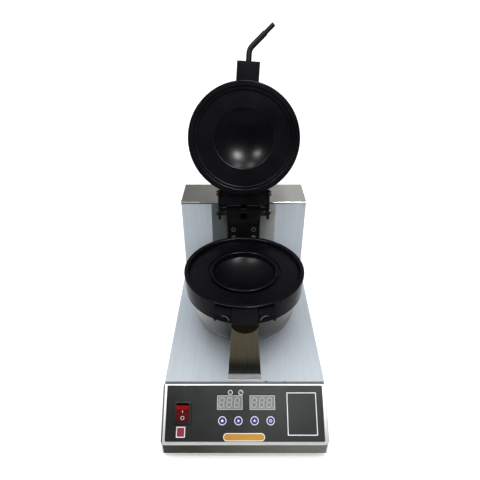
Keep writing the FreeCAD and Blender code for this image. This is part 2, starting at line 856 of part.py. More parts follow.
def make_lower_mould():
    """A cast mould: raised rim, recess, groove and bead round a shallow bowl."""
    body = piece("lower_mould")
    place(body, "0", "mould_y", "mould_rim")
    bead_top = "(bead_rise - recess_depth)"
    lip = f"({bead_top} - edge_r)"
    rise = "(bowl_floor - bowl_wall_depth)"
    bowl_centre = f"(bowl_wall_r ^ 2 + {rise} ^ 2) / (2 * {rise}) - bowl_floor"
    groove = "-recess_depth - groove_depth"
    land = "mould_r - rim_wall + edge_r"
    outer = "mould_r - rim_round"
    half = sketch(body, "XZ")
    outline(half, [
        ("0", "-bowl_floor"), ("pole_r", "-bowl_floor"),
        ("bowl_wall_r", "-bowl_wall_depth", "0", bowl_centre), ("bowl_r", lip),
        ("bowl_r + edge_r", bead_top, "bowl_r + edge_r", lip), ("bead_r - edge_r", bead_top),
        ("bead_r", lip, "bead_r - edge_r", lip), ("bead_r", groove), ("groove_r - groove_slope", groove),
        ("groove_r", "-recess_depth"), ("mould_r - rim_foot", "-recess_depth"),
        ("mould_r - rim_wall", "-edge_r"), (land, "0", land, "-edge_r"),
        (outer, "0"),
        ("mould_r", "-rim_round", outer, "-rim_round"), (WALL_R, "-mould_height"),
        ("channel_outer", "-mould_height"), ("channel_outer", "channel_depth - mould_height"),
        ("channel_inner", "channel_depth - mould_height"), ("channel_inner", "-mould_height"),
        ("0", "-mould_height"),
    ])
    turned = revolve(body, half)
    fillet(body, turned, "bowl_wall_round", lambda edge: near(edge.CenterOfMass.z, "-bowl_wall_depth"))
    lug = sketch(body, "XZ", "lug_root")
    lug_section(lug, "lug_half", "lug_top", "-1")
    pad(body, lug, "lug_reach - lug_root")
    cheeks = sketch(body, "XZ", "cheek_root")
    for side in ("-1", "1"):
        cheek_section(cheeks, side)
    pad(body, cheeks, "cheek_reach - cheek_root")
    hole = sketch(body, "XY", "-mould_height")
    circles(hole, [("0", "probe_radius")], "probe_r + probe_slack")
    pocket(body, hole, "probe_bore", reverse=True)


def make_element(name, middle, end, putter):
    """A ring-shaped tubular heating element with two straight terminals."""
    body = piece(name)
    putter(body)
    radius = "(channel_inner + channel_outer) / 2"
    ring = sketch(body, "XZ")
    circles(ring, [(radius, middle)], "element_r")
    revolve(body, ring, "element_sweep")
    pins = sketch(body, "XY", middle)
    turned = [(f"({radius}) * cos({angle})", f"({radius}) * sin({angle})")
              for angle in ("0", "element_sweep")]
    circles(pins, turned, "element_pin_r")
    pad(body, pins, f"abs({end} - ({middle}))", reverse=value(end) < value(middle))


def make_heater_bowl():
    """A spun bowl that hides the element, standing on a ring, with four pillars carrying the mould."""
    body = piece("heater_bowl")
    place(body, "0", "mould_y", "0")
    top = "mould_rim - mould_height"
    flat = "heater_r - heater_corner"
    bend = "heater_bottom + heater_corner"
    half = sketch(body, "XZ")
    outline(half, [
        ("heater_r", top), ("heater_r", bend), (flat, "heater_bottom", flat, bend),
        ("heater_hole_r", "heater_bottom"), ("heater_hole_r", "heater_bottom + heater_sheet"),
        (flat, "heater_bottom + heater_sheet"),
        ("heater_r - heater_sheet", bend, flat, bend), ("heater_r - heater_sheet", top),
    ])
    revolve(body, half)
    holes = sketch(body, "XY", "heater_bottom")
    circles(holes, PILLARS, "pillar_r + pillar_slack")
    pocket(body, holes, "2 * heater_sheet", reverse=True)

    ring = piece("bowl_base_ring")
    place(ring, "0", "mould_y", "deck_top")
    section = sketch(ring, "XY")
    circles(section, [("0", "0")], "base_ring_r")
    circles(section, [("0", "0")], "base_ring_bore")
    pad(ring, section, "heater_bottom - deck_top")

    posts = make_studs("mould_pillars", "XY", PILLARS,
                       [("pillar_r", "0", "mould_rim - mould_height - deck_top")])
    place(posts, "0", "mould_y", "deck_top")

    wool = piece("lower_insulation")
    place(wool, "0", "mould_y", "heater_bottom + heater_sheet")
    disc = sketch(wool, "XY")
    circles(disc, [("0", "0")], "pad_r")
    circles(disc, PILLARS, "pillar_r + pillar_slack")
    circles(disc, [("0", "0")], "heater_hole_r")
    pad(wool, disc, "pad_height")

    probe = make_studs("lower_probe", "XY", [("0", "probe_radius")],
                       [("probe_r", "-mould_height - probe_tail", "probe_tail + probe_bore - probe_gap")])
    place(probe, "0", "mould_y", "mould_rim")


def make_front_leg():
    """A tapered channel that cradles the lower mould's lug."""
    body = piece("front_leg")
    lug_low = "mould_rim - lug_top - lug_depth"
    centre = f"{lug_low} + {LUG_ARC}"
    reach = f"({LUG_ARC} + seam)"
    shoulder = f"{centre} - sqrt({reach} ^ 2 - leg_head_half ^ 2)"
    face = sketch(body, "XZ", f"-{LEG_FRONT}")
    outline(face, [
        ("-leg_foot_half", "deck_top"), ("leg_foot_half", "deck_top"), ("leg_head_half", shoulder),
        ("0", f"{centre} - {reach}", "0", centre), ("-leg_head_half", shoulder, "0", centre),
    ])
    pad(body, face, "leg_depth", reverse=True)
    hollow = sketch(body, "XZ", f"-({LEG_FRONT} + leg_depth)")
    outline(hollow, [
        ("leg_sheet - leg_foot_half", "deck_top - leg_overcut"),
        ("leg_foot_half - leg_sheet", "deck_top - leg_overcut"),
        ("leg_head_half - leg_sheet", f"{shoulder} + leg_overcut"),
        ("leg_sheet - leg_head_half", f"{shoulder} + leg_overcut"),
    ])
    pocket(body, hollow, "leg_depth - leg_sheet", reverse=True)
    foot = sketch(body, "XY", "deck_top")
    rectangle(foot, "0", f"{LEG_FRONT} + leg_sheet / 2 - leg_lip / 2",
              "2 * leg_foot_half", "leg_lip + leg_sheet")
    rectangle(foot, "0", f"{LEG_FRONT} + leg_depth / 2 + leg_sheet",
              "2 * leg_foot_half - 2 * leg_sheet + seam", "leg_depth - leg_sheet")
    pad(body, foot, "leg_sheet")
    holes = sketch(body, "XY", "deck_top + leg_sheet")
    circles(holes, LEG_HOLES, "leg_hole_r")
    pocket(body, holes, "2 * leg_sheet")
    make_studs("leg_screws", "XY", LEG_HOLES,
               [("leg_screw_r", "deck_top - leg_screw_length", "leg_screw_length + leg_sheet"),
                ("leg_head_r", "deck_top + leg_sheet", "leg_head")])


# Hinge

def knuckle_point(angle):
    return f"pin_y + knuckle_r * cos({angle})", f"pin_z + knuckle_r * sin({angle})"


def make_hinge_bracket():
    """The bolted bracket: a flange, a sloping web and two knuckles round the pin."""
    body = piece("hinge_bracket")
    pin = ("pin_y", "pin_z")
    side = sketch(body, "YZ")
    outline(side, [
        (BACKING_Y, "bracket_low"), (BRACKET_Y, "bracket_low"), (BRACKET_Y, "web_low"),
        knuckle_point("web_front"), (*knuckle_point("(web_front + web_back) / 2"), *pin),
        (*knuckle_point("web_back"), *pin), (BACKING_Y, "pin_z + web_top"),
    ])
    circles(side, [pin], "pin_r + pin_press")
    pad(body, side, "2 * bracket_half", both=True)
    gap = sketch(body, "YZ")
    rectangle(gap, "pin_y", "pin_z", "2 * knuckle_r + 2 * knuckle_spare", "2 * knuckle_r + 4 * knuckle_spare")
    pocket(body, gap, "knuckle_gap", both=True)
    holes = sketch(body, "XZ", f"-{BRACKET_Y}")
    circles(holes, BRACKET_HOLES, "bracket_hole_r")
    pocket(body, holes, "2 * bracket_plate")
    make_studs("hinge_bracket_screws", "XZ", BRACKET_HOLES,
               [("bracket_screw_r", f"-({BRACKET_Y} + bracket_screw_length)", "bracket_screw_length"),
                ("bracket_head_r", f"-{BRACKET_Y}", "bracket_head")])

    plate = piece("hinge_backing_plate")
    face = sketch(plate, "XZ", "-riser_front")
    high = "riser_top - cover_lip - seam"
    outline(face, [
        ("-backing_half", "backing_low"), ("backing_half", "backing_low"), ("backing_half", high),
        ("-backing_half", high),
    ])
    circles(face, BRACKET_HOLES, "bracket_hole_r")
    pad(plate, face, "sheet")


def make_hinge_pin():
    pin = piece("hinge_pin")
    place(pin, "0", "pin_y", "pin_z")
    shaft = sketch(pin, "YZ")
    circles(shaft, [("0", "0")], "pin_r")
    pad(pin, shaft, "2 * pin_half", both=True)
    head = sketch(pin, "YZ", "-pin_half - pin_head_over")
    circles(head, [("0", "0")], "pin_head_r")
    capped = pad(pin, head, "pin_half - arm_inner - arm_plate + pin_head_over - pin_head_gap")
    fillet(pin, capped, "pin_head_round", lambda edge: near(edge.CenterOfMass.x, "-pin_half - pin_head_over"))

    ring = piece("hinge_retaining_ring")
    place(ring, "0", "pin_y", "pin_z")
    section = sketch(ring, "YZ", "arm_inner + arm_plate + ring_gap")
    circles(section, [("0", "0")], "pin_r + ring_width")
    circles(section, [("0", "0")], "pin_r + pin_press")
    pad(ring, section, "ring_plate")

    sleeves = piece("hinge_spacers")
    place(sleeves, "0", "pin_y", "pin_z")
    for start in ("bracket_half + seam", "-arm_inner + seam"):
        section = sketch(sleeves, "YZ", start)
        circles(section, [("0", "0")], "spacer_r")
        circles(section, [("0", "0")], "pin_r + pin_press")
        pad(sleeves, section, "arm_inner - bracket_half - 2 * seam")


def make_hinge_arm(name, side):
    """A plate arm from the lid's lug to the pin. Its heel stops the open lid against the backing plate."""
    body = piece(name)
    place_on_lid(body)
    heel = f"({BACKING_Y} - pin_y - stop_gap)"
    stop = [(f"{heel} * cos(lid_open) - ({k}) * sin(lid_open)",
             f"{heel} * sin(lid_open) + ({k}) * cos(lid_open)")
            for k in ("arm_heel_high", "arm_heel_low")]
    turn = [(f"arm_r * cos({a})", f"arm_r * sin({a})") for a in ("60", "0", "-60", "-100")]
    shape = sketch(body, "YZ", f"{side} * (arm_inner + arm_plate / 2)")
    outline(shape, [
        ("arm_front", "arm_low"), ("arm_front", "arm_high"), *stop, turn[0],
        *[(*spot, "0", "0") for spot in turn[1:]],
    ])
    circles(shape, [("0", "0")], "pin_r + running")
    circles(shape, ARM_HOLES, "arm_hole_r")
    pad(body, shape, "arm_plate", both=True)


def make_hinge_arm_screws():
    body = piece("hinge_arm_screws")
    place_on_lid(body)
    outside = "(arm_inner + arm_plate)"
    for start, head in (("arm_inner - arm_screw_length", outside), (f"-{outside}", f"-{outside} - arm_head")):
        shanks = sketch(body, "YZ", start)
        circles(shanks, ARM_HOLES, "arm_screw_r")
        pad(body, shanks, "arm_screw_length + arm_plate")
        heads = sketch(body, "YZ", head)
        circles(heads, ARM_HOLES, "arm_head_r")
        pad(body, heads, "arm_head")


# Lid

def clocked(body, plane, distance, height="0"):
    """A sketch turned about the lid's axis by the block's clocking."""
    drawn = sketch(body, plane)
    axis = Vector(0, 1, 0) if plane == "XZ" else Vector(0, 0, 1)
    drawn.AttachmentOffset = Placement(Vector(), Rotation(axis, value("block_clock")))
    bind(drawn, AttachmentOffset__Rotation__Angle="block_clock")
    if plane == "XZ":
        bind(drawn, AttachmentOffset__Base__x=f"({distance}) * sin(block_clock)",
             AttachmentOffset__Base__z=f"({distance}) * cos(block_clock)")
    else:
        bind(drawn, AttachmentOffset__Base__z=height)
    return drawn


def on_lid_axis(body):
    place_on_lid(body, "lid_axis", "lid_rim")


def on_mould_axis(body):
    place(body, "0", "mould_y", "mould_rim")


def make_upper_mould():
    """The lid's cast mould, with a block for the handle and a lug for the hinge arms."""
    body = piece("upper_mould")
    on_lid_axis(body)
    lip = "(lid_recess + lid_lip_depth)"
    rise = f"(lid_bowl_top - {lip})"
    bowl_centre = f"lid_bowl_top - (bowl_r ^ 2 + {rise} ^ 2) / (2 * {rise})"
    lip_edge = "bowl_r + lid_lip_width"
    lip_centre = "lid_recess + (lid_lip_width ^ 2 + lid_lip_depth ^ 2) / (2 * lid_lip_depth)"
    step, ledge = "mould_r - lid_recess_edge", "mould_r - lid_rim_edge"
    outer = "mould_r - rim_round"
    half = sketch(body, "XZ")
    outline(half, [
        ("0", "lid_bowl_top"), ("pole_r", "lid_bowl_top"), ("bowl_r", lip, "0", bowl_centre),
        (lip_edge, "lid_recess", lip_edge, lip_centre), (step, "lid_recess"), (step, "lid_step + edge_r"),
        (f"{step} + edge_r", "lid_step", f"{step} + edge_r", "lid_step + edge_r"), (ledge, "lid_step"),
        (ledge, "edge_r"), (f"{ledge} + edge_r", "0", f"{ledge} + edge_r", "edge_r"), (outer, "0"),
        ("mould_r", "rim_round", outer, "rim_round"), (WALL_R, "mould_height"),
        ("channel_outer", "mould_height"), ("channel_outer", "mould_height - channel_depth"),
        ("channel_inner", "mould_height - channel_depth"), ("channel_inner", "mould_height"),
        ("0", "mould_height"),
    ])
    revolve(body, half)
    block = clocked(body, "XZ", "lug_root")
    lug_section(block, "block_half", "lug_top", "1")
    pad(body, block, "block_reach - lug_root")
    lug = sketch(body, "XZ", "-lid_lug_front")
    corner = "lid_lug_corner"
    low, high = "lid_lug_low", "lid_lug_high"
    outline(lug, [
        ("-arm_inner", high), ("-arm_inner", f"{low} + {corner}"),
        (f"{corner} - arm_inner", low, f"{corner} - arm_inner", f"{low} + {corner}"),
        (f"arm_inner - {corner}", low),
        ("arm_inner", f"{low} + {corner}", f"arm_inner - {corner}", f"{low} + {corner}"), ("arm_inner", high),
    ])
    pad(body, lug, "lid_lug_back - lid_lug_front", reverse=True)
    socket = clocked(body, "XZ", "block_reach")
    circles(socket, [("0", "rod_height")], "rod_r + running")
    pocket(body, socket, "block_reach - rod_start + seam")
    taps = sketch(body, "YZ")
    circles(taps, [(f"{back} - lid_axis", f"{up} - lid_rim") for back, up in ARM_HOLES], "arm_tap_r")
    pocket(body, taps, "2 * arm_inner + 2 * seam", both=True)
    holes = sketch(body, "XY", "mould_height")
    circles(holes, LID_HOLES, "lid_hole_r")
    pocket(body, holes, "lid_hole_depth")
    probe = sketch(body, "XY", "mould_height")
    circles(probe, [("0", "probe_radius")], "probe_r + probe_slack")
    pocket(body, probe, "probe_bore")


def make_lid_cover():
    """The can over the lid's element, its screws, insulation and temperature probe."""
    body = piece("lid_cover")
    on_lid_axis(body)
    low = "mould_height"
    top = "mould_height + lid_cover_height"
    flat = "lid_cover_r - lid_cover_corner"
    bend = f"{top} - lid_cover_corner"
    half = sketch(body, "XZ")
    outline(half, [
        ("lid_cover_r", low), ("lid_cover_r", bend), (flat, top, flat, bend), ("0", top),
        ("0", f"{top} - heater_sheet"), (flat, f"{top} - heater_sheet"),
        ("lid_cover_r - heater_sheet", bend, flat, bend), ("lid_cover_r - heater_sheet", low),
    ])
    revolve(body, half)
    holes = sketch(body, "XY", top)
    circles(holes, LID_HOLES, "lid_hole_r")
    pocket(body, holes, "2 * heater_sheet")

    shank = "lid_cover_height + lid_screw_bite"
    screws = make_studs("lid_cover_screws", "XY", LID_HOLES,
                        [("lid_screw_r", "mould_height - lid_screw_bite", shank), ("lid_head_r", top, "lid_head")])
    on_lid_axis(screws)

    wool = piece("lid_insulation")
    on_lid_axis(wool)
    disc = sketch(wool, "XY", "mould_height")
    circles(disc, [("0", "0")], "lid_pad_outer")
    circles(disc, [("0", "0")], "lid_pad_inner")
    pad(wool, disc, "lid_pad_height")

    probe = make_studs("lid_probe", "XY", [("0", "probe_radius")],
                       [("probe_r", "mould_height - probe_bore + probe_gap",
                         "lid_probe_tail + probe_bore - probe_gap")])
    on_lid_axis(probe)


def make_handle_rod():
    """A bent rod whose thinner end takes a screwed-on grip."""
    body = piece("handle_rod")
    on_lid_axis(body)
    bend_x = "rod_bend_r * (1 - cos(rod_bend))"
    bend_y = "-rod_straight - rod_bend_r * sin(rod_bend)"
    for radius, diagonal in (("rod_r", "rod_shoulder"), ("rod_end_r", "rod_diagonal")):
        line = clocked(body, "XY", "0", "rod_height")
        outline(line, [
            ("0", "-rod_start"), ("0", "-rod_straight"), (bend_x, bend_y, "rod_bend_r", "-rod_straight"),
            (f"{bend_x} + {diagonal} * sin(rod_bend)", f"{bend_y} - {diagonal} * cos(rod_bend)"),
        ], closed=False)
        section = clocked(body, "XZ", "rod_start")
        circles(section, [("0", "rod_height")], radius)
        pipe = body.newObject("PartDesign::AdditivePipe", "rod_pipe")
        pipe.Profile = section
        pipe.Spine = line
        doc.recompute()


# Gland and inner electrics

def make_gland():
    body = piece("cable_gland")
    place(body, "gland_x", "riser_back", "gland_z")
    flat, low = "gland_cap_r - gland_cap_round", "gland_reach - gland_cap_round"
    half = sketch(body, "XY")
    outline(half, [
        ("gland_bore", "-gland_tail"), ("gland_thread", "-gland_tail"), ("gland_thread", "0"),
        ("gland_collar_r", "0"), ("gland_collar_r", "gland_collar"), ("gland_cap_r", low),
        (flat, "gland_reach", flat, low), ("gland_bore", "gland_reach"),
    ])
    revolve(body, half)
    nut = sketch(body, "XZ")
    corners = [(f"gland_nut_r * cos({60 * i})", f"gland_nut_r * sin({60 * i})") for i in range(6)]
    outline(nut, corners)
    circles(nut, [("0", "0")], "gland_thread")
    pad(body, nut, "gland_nut", reverse=True)

    ring = piece("gland_locknut")
    place(ring, "gland_x", "riser_back - sheet", "gland_z")
    section = sketch(ring, "XZ")
    outline(section, corners)
    circles(section, [("0", "0")], "gland_thread + running")
    pad(ring, section, "gland_locknut_plate")


def make_electrics():
    relays = piece("heater_relays")
    terminals = piece("terminal_block")
    cases = sketch(relays, "XY", TRAY_FLOOR)
    for x in ("-relay_x", "relay_x"):
        rectangle(cases, x, "relay_y", "relay_width", "relay_length")
    solid = pad(relays, cases, "relay_height")
    fillet(relays, solid, "relay_round", lambda edge: runs_along(edge, "z"))
    strip = sketch(terminals, "XY", TRAY_FLOOR)
    rectangle(strip, "0", "terminal_y", "terminal_width", "terminal_depth")
    pad(terminals, strip, "terminal_height")
    wells = sketch(terminals, "XY", f"{TRAY_FLOOR} + terminal_height")
    circles(wells, [(f"{i} * terminal_pitch", "terminal_y") for i in range(-2, 3)], "terminal_well_r")
    pocket(terminals, wells, "terminal_well")


make_base_tray()
make_deck_sheet()
make_side_panel("left_side_panel", -1)
make_side_panel("right_side_panel", 1)
make_rear_cover()
make_studs("rear_cover_screws", "XZ", COVER_HOLES,
           [("cover_screw_r", "-riser_back", "cover_screw_length"),
            ("cover_head_r", "-riser_back - cover_head", "cover_head")])
make_feet()
make_panel_sheet("control_panel", "-panel_plate", "panel_plate", "body_width + 2 * panel_overhang",
                 PANEL_LENGTH, "panel_corner")
make_panel_sheet("panel_overlay", "0", "overlay", "body_width - 2 * overlay_border",
                 f"{PANEL_LENGTH} - 2 * overlay_border", "overlay_corner")
make_rocker_switch()
make_display("display_left", "display_left_x")
make_display("display_right", "display_right_x")
make_lamps()
for button_name, (button_x, button_place) in zip(BUTTON_NAMES, BUTTONS):
    make_button(button_name, button_x, button_place)
make_board()
make_lower_mould()
make_element("lower_element", "element_set - mould_height", "-mould_height - element_tail", on_mould_axis)
make_heater_bowl()
make_front_leg()
make_hinge_bracket()
make_hinge_pin()
make_hinge_arm("left_hinge_arm", "-1")
make_hinge_arm("right_hinge_arm", "1")
make_hinge_arm_screws()
make_upper_mould()
make_element("lid_element", "mould_height - element_set", "mould_height + lid_element_tail", on_lid_axis)
make_lid_cover()
make_handle_rod()
make_gland()
make_electrics()
doc.recompute()

for thing in doc.Objects:
    if "Invalid" in thing.State or "Error" in thing.State:
        raise RuntimeError(f"{thing.Label} failed: {thing.State}")
for made in pieces:
    if made.Shape.isNull() or not made.Shape.isValid() or not made.Shape.Solids:
        raise RuntimeError(f"{made.Label} is not a valid solid")

os.makedirs("parts", exist_ok=True)
for made in pieces:
    made.Shape.exportStep(f"parts/{made.Label}.step")
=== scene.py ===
import math

import bpy
from mathutils import Matrix, Vector
from mathutils.bvhtree import BVHTree


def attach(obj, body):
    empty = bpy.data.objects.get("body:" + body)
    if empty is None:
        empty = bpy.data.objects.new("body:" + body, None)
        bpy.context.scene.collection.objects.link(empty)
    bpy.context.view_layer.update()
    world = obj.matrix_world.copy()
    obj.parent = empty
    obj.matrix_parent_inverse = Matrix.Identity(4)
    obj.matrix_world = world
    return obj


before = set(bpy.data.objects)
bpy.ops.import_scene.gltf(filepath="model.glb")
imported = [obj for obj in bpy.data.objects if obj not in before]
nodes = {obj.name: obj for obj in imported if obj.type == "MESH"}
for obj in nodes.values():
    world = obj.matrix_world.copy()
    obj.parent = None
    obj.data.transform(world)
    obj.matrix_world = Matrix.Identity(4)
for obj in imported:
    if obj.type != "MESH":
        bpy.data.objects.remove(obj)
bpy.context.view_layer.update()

MM = 0.001


# Planes with x to the right, y upwards and z out of the object, and their middles in millimetres

def turned(degrees, axis="Z"):
    return Matrix.Rotation(math.radians(degrees), 4, axis)


def shifted(matrix, x=0.0, y=0.0, z=0.0):
    return matrix @ Matrix.Translation(Vector((x, y, z)) * MM)


ORIGIN = Matrix.Identity(4)
FRONT = turned(90, "X")
BACK = turned(180) @ FRONT

# The sloping panel
PANEL_SLOPE = 39.3
PANEL_MIDDLE = (0, -198, 59)
PANEL = shifted(ORIGIN, *PANEL_MIDDLE) @ turned(PANEL_SLOPE, "X")

# The top of the open lid and the outer faces of its arms
LID_OPEN = 115
HINGE = (0, 108, 231)
LID = shifted(ORIGIN, *HINGE) @ turned(-LID_OPEN, "X")
RIGHT_ARM = LID @ turned(90, "Y")
LEFT_ARM = LID @ turned(-90, "Y")


# Nodes of the finishes

# Numbers of the sockets of a Mix node for colours
MIX_SHARE = 0
MIX_FIRST = 6
MIX_SECOND = 7
MIX_RESULT = 2


class Wire:
    """An output of a finish. Sums, differences and products of wires add Math nodes."""

    def __init__(self, finish, socket):
        self.finish = finish
        self.socket = socket

    def math(self, operation, first, second):
        return self.finish.node("ShaderNodeMath", {"operation": operation}, {0: first, 1: second})

    def __add__(self, other):
        return self.math("ADD", self, other)

    def __sub__(self, other):
        return self.math("SUBTRACT", self, other)

    def __mul__(self, other):
        return self.math("MULTIPLY", self, other)

    def __rsub__(self, other):
        return self.math("SUBTRACT", other, self)

    __radd__ = __add__
    __rmul__ = __mul__

    def larger(self, other):
        return self.math("MAXIMUM", self, other)


class Finish:
    """A material on Object coordinates, made of nodes round one shader, or the light of the room."""

    def __init__(self, name, blocks=None, shader="Principled BSDF", **sockets):
        self.material = (bpy.data.materials if blocks is None else blocks).new(name)
        self.material.use_nodes = True
        self.tree = self.material.node_tree
        self.shader = self.tree.nodes[shader]
        self.set(**sockets)

    def feed(self, socket, value):
        if isinstance(value, Wire):
            self.tree.links.new(value.socket, socket)
        else:
            socket.default_value = value

    def set(self, **sockets):
        for name, value in sockets.items():
            label = name.replace("_", " ").title().replace("Ior", "IOR")
            self.feed(self.shader.inputs[label], value)

    def node(self, kind, settings, sockets, output=0):
        made = self.tree.nodes.new(kind)
        for name, value in settings.items():
            setattr(made, name, value)
        for name, value in sockets.items():
            self.feed(made.inputs[name], value)
        return Wire(self, made.outputs[output])

    def place(self, stretch=(1, 1, 1)):
        where = self.node("ShaderNodeTexCoord", {}, {}, "Object")
        return self.node("ShaderNodeMapping", {}, {"Vector": where, "Scale": stretch})

    def along(self, axis):
        return self.node("ShaderNodeSeparateXYZ", {}, {"Vector": self.place()}, axis)

    def noise(self, scale, detail, stretch=(1, 1, 1), roughness=0.55):
        sockets = {"Vector": self.place(stretch), "Scale": scale, "Detail": detail, "Roughness": roughness}
        return self.node("ShaderNodeTexNoise", {}, sockets)

    def range(self, wire, low, high, bottom=0.0, top=1.0):
        sockets = {"Value": wire, "From Min": low, "From Max": high, "To Min": bottom, "To Max": top}
        return self.node("ShaderNodeMapRange", {"clamp": True}, sockets)

    def mix(self, share, first, second):
        sockets = {MIX_SHARE: share, MIX_FIRST: first, MIX_SECOND: second}
        return self.node("ShaderNodeMix", {"data_type": "RGBA"}, sockets, MIX_RESULT)

    def bump(self, height, strength, distance):
        sockets = {"Height": height, "Strength": strength, "Distance": distance}
        return self.node("ShaderNodeBump", {}, sockets)


def tone(red, green, blue):
    return (red, green, blue, 1.0)


def grey(level):
    return tone(level, level, level)


# Finishes, with places on the object in metres

# Spans that hold most values of a noise
MIDDLE = (0.35, 0.65)
BROAD = (0.3, 0.7)

# How fine, how long and how deep brush lines are
BRUSH_FINE = 160
BRUSH_LONG = 3
BRUSH_DEPTH = 0.0002


def brush_lines(finish, axis):
    stretch = [BRUSH_LONG if axis == each else BRUSH_FINE for each in "XYZ"]
    return finish.noise(9.0, 4.0, stretch, 0.7)


def brushed(name, dark, light, axis, roughness, across=None):
    """Steel with fine brush lines along one axis. Its tone drifts in clouds, or it carries a painted
    reflection that grows paler across a span of X.
    """
    finish = Finish(name, metallic=1.0)
    lines = brush_lines(finish, axis)
    if across:
        # Painted reflection: across the span of X the tone grows paler.
        start, end = across
        share = finish.range(finish.along("X") + (end - start) * 0.25 * lines, start, end)
    else:
        share = finish.range(lines * 0.6 + finish.noise(7.0, 2.0) * 0.4, 0.36, 0.64)
    finish.set(
        base_color=finish.mix(share, dark, light),
        roughness=finish.range(lines, *BROAD, roughness - 0.06, roughness + 0.08),
        normal=finish.bump(lines, strength=0.12, distance=BRUSH_DEPTH),
    )
    return finish


def coating(name, dark, light, roughness, grain, depth, ior=1.25):
    """Sprayed coating or moulded plastic: a fine grain, patchy gloss and a slight change of tone."""
    finish = Finish(name, ior=ior)
    cloud = finish.noise(14.0, 4.0)
    fine = finish.noise(grain, 2.0)
    gloss = cloud * 0.6 + fine * 0.4
    finish.set(
        base_color=finish.mix(finish.range(cloud, *MIDDLE), dark, light),
        roughness=finish.range(gloss, *MIDDLE, roughness - 0.05, roughness + 0.07),
        normal=finish.bump(fine, strength=0.25, distance=depth),
    )
    return finish


# Span of Y at the deck's front edge
DECK_EDGE = (-0.1635, -0.1605)


def filmed_sheet():
    """White protective film on the case, with pull lines, faint ripples and nicks at the front edge."""
    finish = Finish("filmed_sheet", coat_roughness=0.25, ior=1.3)
    pull = finish.noise(6.0, 3.0, (26, 1.6, 1.6))
    cloud = finish.noise(5.0, 2.0)
    share = finish.range(pull * 0.45 + cloud * 0.55, *MIDDLE)
    film = finish.mix(share, tone(0.425, 0.477, 0.53), tone(0.5, 0.552, 0.604))
    specks = finish.range(finish.noise(150.0, 2.0, (0.5, 1, 1)), 0.68, 0.72)
    edge = 1 - finish.range(finish.along("Y"), *DECK_EDGE)
    ripples = pull + 0.3 * finish.noise(900.0, 2.0)
    finish.set(
        base_color=finish.mix(specks * edge, film, grey(0.05)),
        roughness=finish.range(cloud, *BROAD, 0.34, 0.46),
        coat_weight=finish.range(pull, *MIDDLE, 0.1, 0.3),
        normal=finish.bump(ripples, strength=0.06, distance=0.0006),
    )
    return finish


# Spans of Z up the panel, over which painted light makes the sheet paler, and at its head, and of X at its
# sides, where painted shade darkens it
PANEL_RISE = (0.035, 0.085)
PANEL_LEFT = (-0.1192, -0.1184)
PANEL_RIGHT = (0.1196, 0.1204)
PANEL_HEAD = (0.0839, 0.0845)


def panel_steel():
    """The bright panel sheet, with painted light making it paler up the slope and painted shade where its
    sides and its head turn down.
    """
    finish = Finish("panel_frame", metallic=0.2)
    lines = brush_lines(finish, "X")
    height = finish.along("Z")
    across = finish.along("X")
    # Painted shade along the sides and the head, where the sheet turns down.
    left = 1 - finish.range(across, *PANEL_LEFT)
    right = 0.4 * finish.range(across, *PANEL_RIGHT)
    painted_fold_shade = (left + right).larger(finish.range(height, *PANEL_HEAD))
    # Painted light: the sheet grows paler up the slope.
    upper = finish.range(height + 0.01 * lines, *PANEL_RISE)
    sheet = finish.mix(upper, tone(0.4, 0.41, 0.41), tone(0.97, 0.98, 0.99))
    finish.set(
        base_color=finish.mix(painted_fold_shade, sheet, grey(0.07)),
        roughness=finish.range(lines, *BROAD, 0.28, 0.42),
        normal=finish.bump(lines, strength=0.12, distance=BRUSH_DEPTH),
    )
    return finish


# Spans of X and Z over which a painted reflection makes the film paler
CHARCOAL_RIGHT = (-0.11, 0.07)
CHARCOAL_RISE = (0.03, 0.085)


def charcoal_film():
    """The panel's film, with a painted reflection that makes it paler towards the upper right."""
    finish = Finish("charcoal_film", ior=1.2)
    cloud = finish.noise(14.0, 4.0)
    # Painted reflection: the film grows paler towards the right and up the panel.
    right = finish.range(finish.along("X") + 0.02 * cloud, *CHARCOAL_RIGHT)
    upper = finish.range(finish.along("Z"), *CHARCOAL_RISE, 0.35, 1.0)
    finish.set(
        base_color=finish.mix(right * upper, tone(0.0105, 0.012, 0.0128), tone(0.047, 0.05, 0.05)),
        roughness=finish.range(cloud, *MIDDLE, 0.31, 0.43),
        normal=finish.bump(finish.noise(2200.0, 2.0), strength=0.25, distance=0.00004),
    )
    return finish


# Span of Z at the rocker's upper end, where a highlight is painted
ROCKER_CROWN = (0.0649, 0.0657)


def rocker_red():
    """Clear red plastic, with a painted highlight along its upper end."""
    finish = Finish("rocker_red", ior=1.2)
    cloud = finish.noise(60.0, 3.0)
    # Painted highlight along the rocker's upper end.
    painted_crown_highlight = finish.range(finish.along("Z") + 0.0006 * cloud, *ROCKER_CROWN)
    deep = finish.mix(finish.range(cloud, *MIDDLE), tone(0.07, 0.001, 0.002), tone(0.1, 0.002, 0.003))
    finish.set(
        base_color=finish.mix(painted_crown_highlight, deep, tone(0.22, 0.005, 0.005)),
        roughness=finish.range(cloud, *MIDDLE, 0.18, 0.28),
        normal=finish.bump(finish.noise(1800.0, 2.0), strength=0.2, distance=0.00003),
    )
    return finish


# Spans of Z from the leg's foot upwards, for its painted reflections and painted shade
LEG_FOOT = (0.0895, 0.0925)
LEG_SHADE = (0.094, 0.107)
LEG_BAND = (0.108, 0.128)


